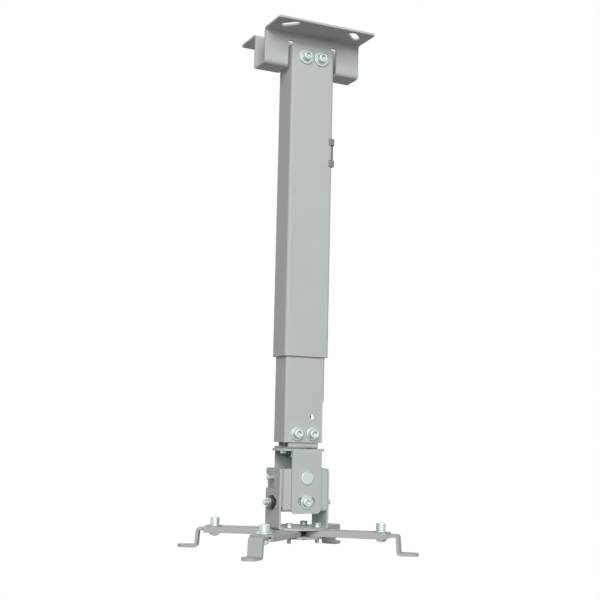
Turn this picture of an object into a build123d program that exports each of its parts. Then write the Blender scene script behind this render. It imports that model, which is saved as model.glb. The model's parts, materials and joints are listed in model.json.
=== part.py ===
from build123d import *
from math import cos, radians
import os

os.makedirs("parts", exist_ok=True)

# Telescopic ceiling mount for a projector, in millimetres.
# Z points up, the ceiling is the plane Z = 0, and the tube's axis is X = Y = 0.
# The front of the mount, with the small hole in its tube, looks towards -Y.
# Heights run down from the ceiling: each piece is placed from the one that carries it.

# Clearances and sheet
GAP = 0.3            # between faces that only slide past each other
RUN = 0.05           # radial play of a shank in its own hole
SHEET = 2.0          # folded steel sheet
BEND_IN = 1.0        # inside radius of a fold
BEND_OUT = BEND_IN + SHEET

# Screws: shank radius, head radius, head height, key width across flats
M4_SCREW = (2.0, 3.5, 4.0, 3.0)
M5_SCREW = (2.5, 4.25, 5.0, 4.0)
LOW_SCREW = (2.5, 4.25, 2.8, 3.0)
ARM_SCREW = (2.5, 4.6, 6.9, 4.0)
# Nuts: thread radius, width across flats, height
M5_NUT = (2.5, 8.0, 4.0)
M8_NUT = (4.0, 13.0, 6.5)
SCREW_HOLE = M5_SCREW[0] + GAP
HEAD_EDGE = 0.5      # chamfer round a head
THREAD_EDGE = 0.4    # chamfer at a thread's end
WASHER_EDGE = 0.25   # chamfer round a washer

# Inner tube section
INNER_X = 40.0
INNER_Y = 25.0
INNER_WALL = 1.5
INNER_R = 2.3
INNER_LENGTH = 290.0

# Outer tube, sized round the inner one
OUTER_WALL = 2.0
OUTER_X = INNER_X + 2 * (GAP + OUTER_WALL)
OUTER_Y = INNER_Y + 2 * (GAP + OUTER_WALL)
OUTER_R = 2.8
OUTER_LENGTH = 296.6
OUTER_TOP = -12.4
OUTER_BOTTOM = OUTER_TOP - OUTER_LENGTH
BORE_X = OUTER_X - 2 * OUTER_WALL
BORE_Y = OUTER_Y - 2 * OUTER_WALL

# Ceiling bracket, a hat section whose middle strip slips into the outer tube
BRACKET_LENGTH = 100.0
BRACKET_DEPTH = 92.0
BRACKET_FOLD = 2.0     # inside radius of its folds
FLANGE_CORNER = 3.0
CHANNEL_Y = BORE_Y - 2 * GAP
CHANNEL_H = 35.0
STRIP_PLAY = 0.5
STRIP_HALF = BORE_X / 2 - STRIP_PLAY
SLIT_PLAY = 3.3        # the slits clear the tube's walls and its top by this
SLIT_OUT = OUTER_X / 2 + SLIT_PLAY
SLIT_TOP = OUTER_TOP + SLIT_PLAY
SLOT_FROM_END = 16.3
SLOT_X = BRACKET_LENGTH / 2 - SLOT_FROM_END
SLOT_FROM_EDGE = 12.3
SLOT_Y = BRACKET_DEPTH / 2 - SLOT_FROM_EDGE
SLOT_LENGTH = 19.0
SLOT_WIDTH = 7.6
SCREW_X = 7.9          # half the distance between the screws of a pair
TOP_SCREW_DROP = 10.6
TOP_SCREW_Z = OUTER_TOP - TOP_SCREW_DROP
TOP_WASHER_R = 7.3
TOP_WASHER_T = 1.5
TOP_END_Y = 5.6        # the screws end this far from the middle plane

# Cable entry on the outer tube's right side
ENTRY_DROP = 100.9
ENTRY_Z = OUTER_TOP - ENTRY_DROP
ENTRY_H = 24.0
ENTRY_W = 16.0
GUARD_H = 27.0
GUARD_FOOT = 6.2
GUARD_SKIN = 1.6
GUARD_WRAP = 4.2
GUARD_FRONT = 1.0
GUARD_CORNER = 0.9
RAIL_T = 1.3
RAIL_W = 2.4
RAIL_IN = 2.6          # rail's middle from the tube's front or back face
RAIL_CORNER = 0.5
COLLAR_IN = 0.2        # the collar ends this far inside the guard's skin
COLLAR_WALL = 1.7

# Height lock at the back of the outer tube
LOCK_RISE = 15.0
LOCK_HEAD_GAP = 1.0    # under the heads, which lets them be tightened
LOCK_Z = OUTER_BOTTOM + LOCK_RISE
RIVNUT_R = 3.4
RIVNUT_FLANGE_R = 5.2
RIVNUT_FLANGE_T = 1.2

# Lower end of the inner tube
INNER_SHOWN = 79.0     # length that shows below the outer tube
INNER_BOTTOM = OUTER_BOTTOM - INNER_SHOWN
INNER_TOP = INNER_BOTTOM + INNER_LENGTH
LOW_SCREW_RISE = 8.0
LOW_SCREW_Z = INNER_BOTTOM + LOW_SCREW_RISE
LOW_WASHER_R = 6.0
LOW_WASHER_T = 1.2
LOW_END_Y = 3.8
NOTCH_H = 37.8
NOTCH_TOP = INNER_BOTTOM + NOTCH_H
NOTCH_IN = 2.0
NOTCH_X = INNER_X / 2 - NOTCH_IN
ENTRY_NOTCH = 95.0     # length of the same notch at the inner tube's upper end
PIN_HOLE_RISE = 23.7
PIN_HOLE_Z = INNER_BOTTOM + PIN_HOLE_RISE
PIN_HOLE_R = 2.5

# Swivel insert in the inner tube
INSERT_X = 30.4
INSERT_Y = INNER_Y - 2 * (INNER_WALL + GAP)
INSERT_DROP = 3.7
INSERT_WEB_TOP = INNER_BOTTOM - INSERT_DROP
INSERT_H = 23.7
INSERT_TOP = INSERT_WEB_TOP + INSERT_H
INSERT_TAIL_Y = 19.7
WEB_Z = INSERT_WEB_TOP - SHEET      # the swivel face
SWIVEL_R = M8_NUT[0]
SWIVEL_HEAD_H = 5.3
SWIVEL_END = 2.1       # thread beyond the nut
SWIVEL_END_EDGE = 0.6
SWIVEL_STOP_R = 12.4
SWIVEL_STOP_ANGLE = 158.0
SWIVEL_RANGE = 60.0
STOP_SHANK_R = 2.0
STOP_HEAD_R = 4.0
STOP_HEAD_H = 2.9
STOP_KEY = 2.5
STOP_RISE = 5.1
STOP_TOP = INSERT_WEB_TOP + STOP_RISE

# Yoke
YOKE_R = 24.0
YOKE_Y = 39.0
YOKE_X = 29.6
YOKE_H = 58.1
YOKE_BOTTOM = WEB_Z - YOKE_H
YOKE_CORNER = 4.0
TILT = 15.0            # each tilt goes this far both ways
ROLL_DROP = 26.3
ROLL_Z = WEB_Z - ROLL_DROP
ROLL_LOCK_R = 21.5
ROLL_LOCK_Z = ROLL_Z - ROLL_LOCK_R
LOCK_SLOT_PLAY = 0.7
LOCK_SLOT = M5_SCREW[0] + LOCK_SLOT_PLAY    # half width of the curved lock slots
PIVOT_R = 4.0
ROLL_HEAD_R = 6.0
ROLL_HEAD_T = 1.4
ROLL_WASHER_R = 6.2
TAIL_T = 1.5

# Tilt block, two crossed channels between the yoke's legs
BLOCK_RISE = 8.3
BLOCK_TOP = ROLL_Z + BLOCK_RISE
BLOCK_H = 38.4
BLOCK_BOTTOM = BLOCK_TOP - BLOCK_H
BLOCK_Y = YOKE_Y - 2 * (SHEET + GAP)
LOWER_X = 50.0
BLOCK_X = LOWER_X - 2 * (SHEET + GAP)
BLOCK_FRONT_IN = 1.0
BLOCK_FRONT_X = BLOCK_X - BLOCK_FRONT_IN
BLOCK_SIDE_Y = BLOCK_Y - 2 * (SHEET + GAP)
BLOCK_CORNER = 3.0
RELIEF_X = 3.5         # cut in the lower web that clears the stud heads
RELIEF_Y = 10.0

# Lower bracket
LOWER_R = 28.0
LOWER_LEG_Y = 30.0
LOWER_RISE = 8.6
LOWER_TOP = ROLL_Z + LOWER_RISE
LOWER_CORNER = 3.5
LOWER_H = 55.0
BASE_BOTTOM = LOWER_TOP - LOWER_H
BASE_TOP = BASE_BOTTOM + SHEET
PITCH_Z = ROLL_Z
PIN_R = 2.5
PIN_OUT = 5.9
HOOK_DROP = 10.0       # the hook's mouth reaches this far below the pin's axis
HOOK_CORNER = 2.0
PITCH_LOCK_DROP = 22.5
PITCH_LOCK_Z = PITCH_Z - PITCH_LOCK_DROP
STUD_HEAD_R = 4.0
STUD_HEAD_T = 1.5
STUD_END = 2.5         # thread beyond the nut
PAD_R = 6.5
PAD_T = 2.3

# Arms between the base and the lower disc
ARM_TOP = BASE_BOTTOM
ARM_H = 5.6
ARM_T = 1.5
ARM_LIP_T = 1.2
ARM_LIP_GAP = 0.6
ARM_W = 22.0
LONG_ARM = 66.0
SHORT_ARM = 58.0
ARM_CROWN = 1.2
ARM_SLOT_START = 21.0
ARM_SLOT_MARGIN = 5.0
ARM_PIVOT = 14.14
DISC_T = 2.0
DISC_EDGE = 0.4
DISC_TOP = ARM_TOP - ARM_H
DISC_BOTTOM = DISC_TOP - DISC_T
ARM_SCREW_TAIL = 4.6

# Feet in the arms
FOOT_T = 2.5
FOOT_W = 14.0
FOOT_REACH = 16.6
FOOT_TOE = 16.2
FOOT_LEAN = 1.2
FOOT_FOLD_IN = 0.4
FOOT_FOLD_OUT = FOOT_T + FOOT_FOLD_IN
FOOT_HOLE_R = 2.7
FOOT_TOP = ARM_TOP - ARM_T
FOOT_DROP = 18.2
FOOT_BOTTOM = FOOT_TOP - FOOT_DROP
FOOT_BACK = 9.0
FOOT_CORNER = 2.0
FOOT_WASHER_R = 6.8
FOOT_WASHER_T = 1.6
FOOT_SCREW_END = 0.8

# Each arm: pivot quadrant, swing angle about its pivot, length, foot screw from the arm's end
ARMS = {
    "left": ((-1, 1), 151.4, LONG_ARM, 9.1),
    "right": ((1, -1), -39.2, LONG_ARM, 7.0),
    "front": ((-1, -1), -139.6, SHORT_ARM, 5.6),
    "back": ((1, 1), 37.3, SHORT_ARM, 18.5),
}


def hexagon(across_flats):
    return across_flats / 2 / cos(radians(30))


def cap_screw(size, length):
    """Socket cap screw, head up, seat at Z = 0."""
    shank_r, head_r, head_h, key = size
    with BuildPart() as screw:
        with BuildSketch():
            Circle(head_r)
        extrude(amount=head_h)
        chamfer(screw.edges().sort_by(Axis.Z)[-1], HEAD_EDGE)
        with BuildSketch(Plane.XY.offset(head_h)):
            RegularPolygon(hexagon(key), 6)
        extrude(amount=-0.55 * head_h, mode=Mode.SUBTRACT)
        with BuildSketch():
            Circle(shank_r)
        extrude(amount=-length)
        chamfer(screw.edges().sort_by(Axis.Z)[0], THREAD_EDGE)
    return screw.part


def hex_nut(size):
    """Hexagon nut lying on Z = 0, its hole the thread's radius plus play."""
    thread_r, flats, height = size
    with BuildPart() as nut:
        with BuildSketch():
            RegularPolygon(hexagon(flats), 6)
            Circle(thread_r + RUN, mode=Mode.SUBTRACT)
        extrude(amount=height)
    return nut.part


def washer(outer_r, hole_r, thickness):
    """Flat washer lying on Z = 0, its upper rim broken."""
    with BuildPart() as ring:
        with BuildSketch():
            Circle(outer_r)
            Circle(hole_r, mode=Mode.SUBTRACT)
        extrude(amount=thickness)
        upper = ring.edges().filter_by(GeomType.CIRCLE).group_by(Axis.Z)[-1]
        chamfer(upper.sort_by(SortBy.RADIUS)[-1], WASHER_EDGE)
    return ring.part


def headed_pin(head_r, head_t, shank_r, length, tail_r=0.0, tail_t=0.0):
    """Pin with a flat head on Z = 0 and its shank down, riveted over if it has a tail."""
    with BuildPart() as pin:
        with BuildSketch():
            Circle(head_r)
        extrude(amount=head_t)
        chamfer(pin.edges().sort_by(Axis.Z)[-1], HEAD_EDGE)
        with BuildSketch():
            Circle(shank_r)
        extrude(amount=-length)
        if tail_t > 0:
            with BuildSketch(Plane.XY.offset(-length)):
                Circle(tail_r)
            extrude(amount=-tail_t)
        chamfer(pin.edges().sort_by(Axis.Z)[0], HEAD_EDGE)
    return pin.part


def u_section(half, mouth, web):
    """Corners of a U folded from sheet: legs at both sides, outer face of its web given."""
    inner = half - SHEET
    web_in = web + SHEET if mouth > web else web - SHEET
    return [
        (-half, mouth), (-half, web), (half, web), (half, mouth),
        (inner, mouth), (inner, web_in), (-inner, web_in), (-inner, mouth),
    ]


def edges_at(builder, axis, **place):
    """Edges along an axis whose middle lies at the given X, Y or Z, on either side."""
    found = []
    for edge in builder.edges().filter_by(axis):
        middle = edge.center()
        off = [abs(abs(getattr(middle, k)) - abs(v)) for k, v in place.items()]
        if max(off) < 0.01:
            found.append(edge)
    return found


def front_places(y, z, half):
    """A pair of places on a front face at Y = -y, looking out of it."""
    return [Plane(origin=(x, -y, z), x_dir=(1, 0, 0), z_dir=(0, -1, 0)) for x in (-half, half)]


def back_places(y, z, half):
    """The same pair on the back face, looking towards +Y."""
    return [Plane(origin=(x, y, z), x_dir=(-1, 0, 0), z_dir=(0, 1, 0)) for x in (-half, half)]


def pair_places(y, z, half):
    """Both pairs, front and back."""
    return front_places(y, z, half) + back_places(y, z, half)


def middle_places(y, z):
    """One place in the middle of the front face and one of the back face."""
    return [front_places(y, z, 0)[0], back_places(y, z, 0)[0]]


def side_places(x, z, outward=1):
    """One place on each side, looking out along -X and +X, or inward."""
    left = Plane(origin=(-x, 0, z), x_dir=(0, -outward, 0), z_dir=(-outward, 0, 0))
    right = Plane(origin=(x, 0, z), x_dir=(0, outward, 0), z_dir=(outward, 0, 0))
    return [left, right]


def save(builder, name):
    builder.part.label = name
    export_step(builder.part, f"parts/{name}.step")
    solids = len(builder.part.solids())
    print(name, solids, "solids", round(builder.part.volume), "mm3")


# Ceiling bracket: hat section folded from one sheet
with BuildPart() as ceiling_bracket:
    flange_y = BRACKET_DEPTH / 2
    wall_y = CHANNEL_Y / 2
    inner_y = wall_y - SHEET
    floor_z = -CHANNEL_H + SHEET
    with BuildSketch(Plane.YZ):
        with BuildLine():
            Polyline(
                (-flange_y, 0), (-inner_y, 0), (-inner_y, floor_z),
                (inner_y, floor_z), (inner_y, 0), (flange_y, 0),
                (flange_y, -SHEET), (wall_y, -SHEET), (wall_y, -CHANNEL_H),
                (-wall_y, -CHANNEL_H), (-wall_y, -SHEET), (-flange_y, -SHEET),
                close=True,
            )
        make_face()
    extrude(amount=BRACKET_LENGTH / 2, both=True)
    fillet(edges_at(ceiling_bracket, Axis.X, Y=inner_y, Z=0), BRACKET_FOLD + SHEET)
    fillet(edges_at(ceiling_bracket, Axis.X, Y=wall_y, Z=-SHEET), BRACKET_FOLD)
    fillet(edges_at(ceiling_bracket, Axis.X, Y=wall_y, Z=-CHANNEL_H), BRACKET_FOLD + SHEET)
    fillet(edges_at(ceiling_bracket, Axis.X, Y=inner_y, Z=floor_z), BRACKET_FOLD)
    # rounded corners of the two flanges
    fillet(edges_at(ceiling_bracket, Axis.Z, X=BRACKET_LENGTH / 2, Y=flange_y), FLANGE_CORNER)
    # slits that let the tube's side walls pass
    with BuildSketch(Plane.XY.offset(SLIT_TOP)):
        with Locations(((STRIP_HALF + SLIT_OUT) / 2, 0), (-(STRIP_HALF + SLIT_OUT) / 2, 0)):
            Rectangle(SLIT_OUT - STRIP_HALF, CHANNEL_Y + 2)
    extrude(amount=-CHANNEL_H, mode=Mode.SUBTRACT)
    # four fixing slots, each lying along a circle round the tube's axis
    for side in (-1, 1):
        for end in (-1, 1):
            with BuildSketch():
                with Locations((end * SLOT_X, side * SLOT_Y)):
                    SlotOverall(SLOT_LENGTH, SLOT_WIDTH, rotation=-45 * side * end)
            extrude(amount=-SHEET, mode=Mode.SUBTRACT)
    # screw holes through both walls of the middle strip
    with BuildSketch(Plane.XZ):
        with Locations((-SCREW_X, TOP_SCREW_Z), (SCREW_X, TOP_SCREW_Z)):
            Circle(SCREW_HOLE)
    extrude(amount=CHANNEL_Y, both=True, mode=Mode.SUBTRACT)
save(ceiling_bracket, "ceiling_bracket")

# Outer tube with screw holes, cable entry and the holes of the height lock
with BuildPart() as outer_tube:
    with BuildSketch(Plane.XY.offset(OUTER_BOTTOM)):
        RectangleRounded(OUTER_X, OUTER_Y, OUTER_R)
        RectangleRounded(BORE_X, BORE_Y, OUTER_R - OUTER_WALL, mode=Mode.SUBTRACT)
    extrude(amount=OUTER_LENGTH)
    with BuildSketch(Plane.XZ):
        with Locations((-SCREW_X, TOP_SCREW_Z), (SCREW_X, TOP_SCREW_Z)):
            Circle(SCREW_HOLE)
    extrude(amount=OUTER_Y, both=True, mode=Mode.SUBTRACT)
    with BuildSketch(Plane.XZ):
        with Locations((-SCREW_X, LOCK_Z), (SCREW_X, LOCK_Z)):
            Circle(RIVNUT_R + RUN)
    extrude(amount=-OUTER_Y, mode=Mode.SUBTRACT)
    with BuildSketch(Plane.YZ):
        with Locations((0, ENTRY_Z)):
            SlotOverall(ENTRY_H, ENTRY_W, rotation=90)
    extrude(amount=OUTER_X, mode=Mode.SUBTRACT)
save(outer_tube, "outer_tube")

# Top screws: two in front, two at the back, through tube wall and bracket strip
top_seat = OUTER_Y / 2 + TOP_WASHER_T
with BuildPart() as top_screws:
    with Locations(*pair_places(top_seat, TOP_SCREW_Z, SCREW_X)):
        add(cap_screw(M5_SCREW, top_seat - TOP_END_Y))
save(top_screws, "top_screws")

with BuildPart() as top_washers:
    with Locations(*pair_places(OUTER_Y / 2, TOP_SCREW_Z, SCREW_X)):
        add(washer(TOP_WASHER_R, SCREW_HOLE, TOP_WASHER_T))
save(top_washers, "top_washers")

with BuildPart() as top_nuts:
    with Locations(*pair_places(CHANNEL_Y / 2 - SHEET - M5_NUT[2], TOP_SCREW_Z, SCREW_X)):
        add(hex_nut(M5_NUT))
save(top_nuts, "top_nuts")

# Cable guard: two feet hold the tube's edges, two rails and a collar frame the entry
with BuildPart() as cable_guard:
    guard_x = OUTER_X / 2 + GUARD_SKIN
    foot_z = GUARD_H / 2 - GUARD_FOOT / 2
    for z in (ENTRY_Z - foot_z, ENTRY_Z + foot_z):
        with BuildSketch(Plane.XY.offset(z - GUARD_FOOT / 2)):
            with Locations((guard_x - (GUARD_SKIN + GUARD_WRAP) / 2, 0)):
                RectangleRounded(GUARD_SKIN + GUARD_WRAP, OUTER_Y + 2 * GUARD_FRONT, GUARD_CORNER)
            RectangleRounded(OUTER_X, OUTER_Y, OUTER_R, mode=Mode.SUBTRACT)
        extrude(amount=GUARD_FOOT)
    rail_x = guard_x - RUN - RAIL_T / 2
    rail_y = OUTER_Y / 2 - RAIL_IN
    collar_h = ENTRY_H - 2 * GAP
    collar_w = ENTRY_W - 2 * GAP
    with BuildSketch(Plane.XY.offset(ENTRY_Z - GUARD_H / 2 + 1)):
        with Locations((rail_x, -rail_y), (rail_x, rail_y)):
            RectangleRounded(RAIL_T, RAIL_W, RAIL_CORNER)
    extrude(amount=GUARD_H - 2)
    with BuildSketch(Plane.YZ.offset(BORE_X / 2)):
        with Locations((0, ENTRY_Z)):
            SlotOverall(collar_h, collar_w, rotation=90)
    extrude(amount=OUTER_WALL + GUARD_SKIN - COLLAR_IN)
    with BuildSketch(Plane.YZ.offset(BORE_X / 2)):
        with Locations((0, ENTRY_Z)):
            SlotOverall(collar_h - 2 * COLLAR_WALL, collar_w - 2 * COLLAR_WALL, rotation=90)
    extrude(amount=OUTER_WALL + GUARD_SKIN + 1, mode=Mode.SUBTRACT)
save(cable_guard, "cable_guard")

# Height lock: rivet nuts in the outer tube, screws that press on the inner tube
with BuildPart() as lock_nuts:
    with BuildSketch(Plane.XZ.offset(-OUTER_Y / 2)):
        with Locations((-SCREW_X, LOCK_Z), (SCREW_X, LOCK_Z)):
            Circle(RIVNUT_FLANGE_R)
    extrude(amount=-RIVNUT_FLANGE_T)
    with BuildSketch(Plane.XZ.offset(-BORE_Y / 2)):
        with Locations((-SCREW_X, LOCK_Z), (SCREW_X, LOCK_Z)):
            Circle(RIVNUT_R)
    extrude(amount=-OUTER_WALL)
    with BuildSketch(Plane.XZ):
        with Locations((-SCREW_X, LOCK_Z), (SCREW_X, LOCK_Z)):
            Circle(M5_SCREW[0] + RUN)
    extrude(amount=-OUTER_Y, mode=Mode.SUBTRACT)
save(lock_nuts, "lock_nuts")

lock_seat = OUTER_Y / 2 + RIVNUT_FLANGE_T + LOCK_HEAD_GAP
with BuildPart() as lock_screws:
    with Locations(*back_places(lock_seat, LOCK_Z, SCREW_X)):
        add(cap_screw(M5_SCREW, lock_seat - INNER_Y / 2))
save(lock_screws, "lock_screws")

# Inner tube with its two cable notches, screw holes and the small front hole
with BuildPart() as inner_tube:
    with BuildSketch(Plane.XY.offset(INNER_BOTTOM)):
        RectangleRounded(INNER_X, INNER_Y, INNER_R)
        RectangleRounded(
            INNER_X - 2 * INNER_WALL, INNER_Y - 2 * INNER_WALL, INNER_R - INNER_WALL,
            mode=Mode.SUBTRACT,
        )
    extrude(amount=INNER_LENGTH)
    with BuildSketch(Plane.XZ):
        with Locations((-SCREW_X, LOW_SCREW_Z), (SCREW_X, LOW_SCREW_Z)):
            Circle(SCREW_HOLE)
    extrude(amount=INNER_Y, both=True, mode=Mode.SUBTRACT)
    with BuildSketch(Plane.XZ):
        with Locations((SCREW_X, PIN_HOLE_Z)):
            Circle(PIN_HOLE_R)
    extrude(amount=INNER_Y, mode=Mode.SUBTRACT)
    notch_w = INNER_X / 2 - NOTCH_X + 1
    notch_x = NOTCH_X + notch_w / 2
    for low, high in ((INNER_BOTTOM - 1, NOTCH_TOP), (INNER_TOP - ENTRY_NOTCH, INNER_TOP + 1)):
        with BuildSketch(Plane.XZ):
            with Locations((notch_x, (low + high) / 2)):
                Rectangle(notch_w, high - low)
        extrude(amount=INNER_Y, both=True, mode=Mode.SUBTRACT)
save(inner_tube, "inner_tube")

# Lower tube screws, in front and at the back, into nuts inside the insert
low_seat = INNER_Y / 2 + LOW_WASHER_T
with BuildPart() as tube_screws:
    with Locations(*pair_places(low_seat, LOW_SCREW_Z, SCREW_X)):
        add(cap_screw(M5_SCREW, low_seat - LOW_END_Y))
save(tube_screws, "tube_screws")

with BuildPart() as tube_washers:
    with Locations(*pair_places(INNER_Y / 2, LOW_SCREW_Z, SCREW_X)):
        add(washer(LOW_WASHER_R, SCREW_HOLE, LOW_WASHER_T))
save(tube_washers, "tube_washers")

with BuildPart() as insert_nuts:
    with Locations(*pair_places(INSERT_Y / 2 - SHEET - M5_NUT[2], LOW_SCREW_Z, SCREW_X)):
        add(hex_nut(M5_NUT))
save(insert_nuts, "insert_nuts")

# Swivel insert: a U of sheet, its web runs on behind the rear leg
with BuildPart() as swivel_insert:
    leg_y = INSERT_Y / 2
    with BuildSketch(Plane.YZ):
        with BuildLine():
            Polyline(
                (-leg_y, INSERT_TOP), (-leg_y, WEB_Z), (INSERT_TAIL_Y, WEB_Z),
                (INSERT_TAIL_Y, INSERT_WEB_TOP), (leg_y, INSERT_WEB_TOP), (leg_y, INSERT_TOP),
                (leg_y - SHEET, INSERT_TOP), (leg_y - SHEET, INSERT_WEB_TOP),
                (-leg_y + SHEET, INSERT_WEB_TOP), (-leg_y + SHEET, INSERT_TOP),
                close=True,
            )
        make_face()
    extrude(amount=INSERT_X / 2, both=True)
    fillet(edges_at(swivel_insert, Axis.X, Y=leg_y, Z=WEB_Z), BEND_OUT)
    front_fold = edges_at(swivel_insert, Axis.X, Y=leg_y - SHEET, Z=INSERT_WEB_TOP)
    fillet([e for e in front_fold if e.center().Y < 0], BEND_IN)
    with BuildSketch(Plane.XZ):
        with Locations((-SCREW_X, LOW_SCREW_Z), (SCREW_X, LOW_SCREW_Z)):
            Circle(SCREW_HOLE)
    extrude(amount=INNER_Y, both=True, mode=Mode.SUBTRACT)
    with BuildSketch(Plane.XY.offset(WEB_Z)):
        Circle(SWIVEL_R + RUN)
        with PolarLocations(SWIVEL_STOP_R, 2, start_angle=SWIVEL_STOP_ANGLE):
            Circle(STOP_SHANK_R + RUN)
    extrude(amount=SHEET, mode=Mode.SUBTRACT)
save(swivel_insert, "swivel_insert")

# Swivel bolt with its nut, and the two stop screws that clamp the yoke's web
with BuildPart() as swivel_bolt:
    with BuildSketch(Plane.XY.offset(INSERT_WEB_TOP)):
        RegularPolygon(hexagon(M8_NUT[1]), 6)
    extrude(amount=SWIVEL_HEAD_H)
    with BuildSketch(Plane.XY.offset(INSERT_WEB_TOP)):
        Circle(SWIVEL_R)
    extrude(amount=-(2 * SHEET + M8_NUT[2] + SWIVEL_END))
    chamfer(swivel_bolt.edges().sort_by(Axis.Z)[0], SWIVEL_END_EDGE)
save(swivel_bolt, "swivel_bolt")

with BuildPart() as swivel_nut:
    with Locations((0, 0, WEB_Z - SHEET - M8_NUT[2])):
        add(hex_nut(M8_NUT))
save(swivel_nut, "swivel_nut")

with BuildPart() as swivel_stops:
    head_top = WEB_Z - SHEET
    with BuildSketch(Plane.XY.offset(head_top)):
        with PolarLocations(SWIVEL_STOP_R, 2, start_angle=SWIVEL_STOP_ANGLE):
            Circle(STOP_HEAD_R)
    extrude(amount=-STOP_HEAD_H)
    chamfer(swivel_stops.edges().group_by(Axis.Z)[0], HEAD_EDGE)
    with BuildSketch(Plane.XY.offset(head_top - STOP_HEAD_H)):
        with PolarLocations(SWIVEL_STOP_R, 2, start_angle=SWIVEL_STOP_ANGLE):
            RegularPolygon(hexagon(STOP_KEY), 6)
    extrude(amount=0.6 * STOP_HEAD_H, mode=Mode.SUBTRACT)
    with BuildSketch(Plane.XY.offset(head_top)):
        with PolarLocations(SWIVEL_STOP_R, 2, start_angle=SWIVEL_STOP_ANGLE):
            Circle(STOP_SHANK_R)
    extrude(amount=STOP_TOP - head_top)
save(swivel_stops, "swivel_stops")

# Yoke: round web with two curved slots, front and back legs folded down
with BuildPart() as yoke:
    web_low = WEB_Z - SHEET
    with BuildSketch(Plane.YZ):
        with BuildLine():
            Polyline(*u_section(YOKE_Y / 2, YOKE_BOTTOM, WEB_Z), close=True)
        make_face()
    extrude(amount=YOKE_X / 2, both=True)
    fillet(edges_at(yoke, Axis.X, Z=WEB_Z), BEND_OUT)
    fillet(edges_at(yoke, Axis.X, Z=web_low), BEND_IN)
    fillet(edges_at(yoke, Axis.Y, X=YOKE_X / 2, Z=YOKE_BOTTOM), YOKE_CORNER)
    with BuildSketch(Plane.XY.offset(web_low)):
        Circle(YOKE_R)
        Rectangle(2 * YOKE_R, YOKE_Y - 2 * BEND_OUT, mode=Mode.INTERSECT)
    extrude(amount=SHEET)
    with BuildSketch(Plane.XY.offset(web_low)):
        Circle(SWIVEL_R + RUN)
        for start in (SWIVEL_STOP_ANGLE, SWIVEL_STOP_ANGLE + 180):
            with BuildLine(mode=Mode.PRIVATE) as stop_path:
                CenterArc((0, 0), SWIVEL_STOP_R, start - SWIVEL_RANGE, 2 * SWIVEL_RANGE)
            SlotArc(stop_path.wire(), 2 * (STOP_SHANK_R + GAP))
    extrude(amount=SHEET, mode=Mode.SUBTRACT)
    with BuildSketch(Plane.XZ):
        with Locations((0, ROLL_Z)):
            Circle(PIVOT_R + RUN)
        with BuildLine(mode=Mode.PRIVATE) as roll_path:
            CenterArc((0, ROLL_Z), ROLL_LOCK_R, 270 - TILT, 2 * TILT)
        SlotArc(roll_path.wire(), 2 * LOCK_SLOT)
    extrude(amount=YOKE_Y, both=True, mode=Mode.SUBTRACT)
save(yoke, "yoke")

# Tilt block, first its front and back plates with the lower web
with BuildPart() as front_channel:
    with BuildSketch(Plane.YZ):
        with BuildLine():
            Polyline(*u_section(BLOCK_Y / 2, BLOCK_TOP, BLOCK_BOTTOM), close=True)
        make_face()
    extrude(amount=BLOCK_FRONT_X / 2, both=True)
    fillet(edges_at(front_channel, Axis.X, Z=BLOCK_BOTTOM), BEND_OUT)
    fillet(edges_at(front_channel, Axis.X, Z=BLOCK_BOTTOM + SHEET), BEND_IN)
    fillet(edges_at(front_channel, Axis.Y, X=BLOCK_FRONT_X / 2, Z=BLOCK_TOP), BLOCK_CORNER)

# then the side plates, whose web lies on the lower one
with BuildPart() as side_channel:
    side_bottom = BLOCK_BOTTOM + SHEET
    with BuildSketch(Plane.XZ):
        with BuildLine():
            Polyline(*u_section(BLOCK_X / 2, BLOCK_TOP, side_bottom), close=True)
        make_face()
    extrude(amount=BLOCK_SIDE_Y / 2, both=True)
    fillet(edges_at(side_channel, Axis.Y, Z=side_bottom), BEND_OUT)
    fillet(edges_at(side_channel, Axis.Y, Z=side_bottom + SHEET), BEND_IN)
    relief = BLOCK_X / 2 - SHEET - RELIEF_X / 2
    with BuildSketch(Plane.XY.offset(side_bottom)):
        with Locations((-relief, 0), (relief, 0)):
            Rectangle(RELIEF_X, RELIEF_Y)
    extrude(amount=SHEET + BEND_IN, mode=Mode.SUBTRACT)

with BuildPart() as tilt_block:
    add(front_channel.part)
    add(side_channel.part)
    with BuildSketch(Plane.XZ):
        with Locations((0, ROLL_Z)):
            Circle(PIVOT_R + RUN)
        with Locations((0, ROLL_LOCK_Z)):
            Circle(SCREW_HOLE)
    extrude(amount=BLOCK_Y, both=True, mode=Mode.SUBTRACT)
    with BuildSketch(Plane.YZ):
        with Locations((0, PITCH_Z)):
            Circle(PIN_R + RUN)
        with Locations((0, PITCH_LOCK_Z)):
            Circle(M5_NUT[0] + RUN)
    extrude(amount=BLOCK_X, both=True, mode=Mode.SUBTRACT)
save(tilt_block, "tilt_block")

# Roll pivots and roll lock, on the front and back of the yoke
roll_grip = SHEET + GAP + SHEET
with BuildPart() as roll_pivots:
    with Locations(*middle_places(YOKE_Y / 2, ROLL_Z)):
        add(headed_pin(ROLL_HEAD_R, ROLL_HEAD_T, PIVOT_R, roll_grip, ROLL_HEAD_R, TAIL_T))
save(roll_pivots, "roll_pivots")

with BuildPart() as roll_screws:
    with Locations(*middle_places(YOKE_Y / 2 + LOW_WASHER_T, ROLL_LOCK_Z)):
        add(cap_screw(LOW_SCREW, LOW_WASHER_T + roll_grip + M5_NUT[2] + 1))
save(roll_screws, "roll_screws")

with BuildPart() as roll_washers:
    with Locations(*middle_places(YOKE_Y / 2, ROLL_LOCK_Z)):
        add(washer(ROLL_WASHER_R, SCREW_HOLE, LOW_WASHER_T))
save(roll_washers, "roll_washers")

with BuildPart() as roll_nuts:
    with Locations(*middle_places(BLOCK_Y / 2 - SHEET - M5_NUT[2], ROLL_LOCK_Z)):
        add(hex_nut(M5_NUT))
save(roll_nuts, "roll_nuts")

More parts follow.
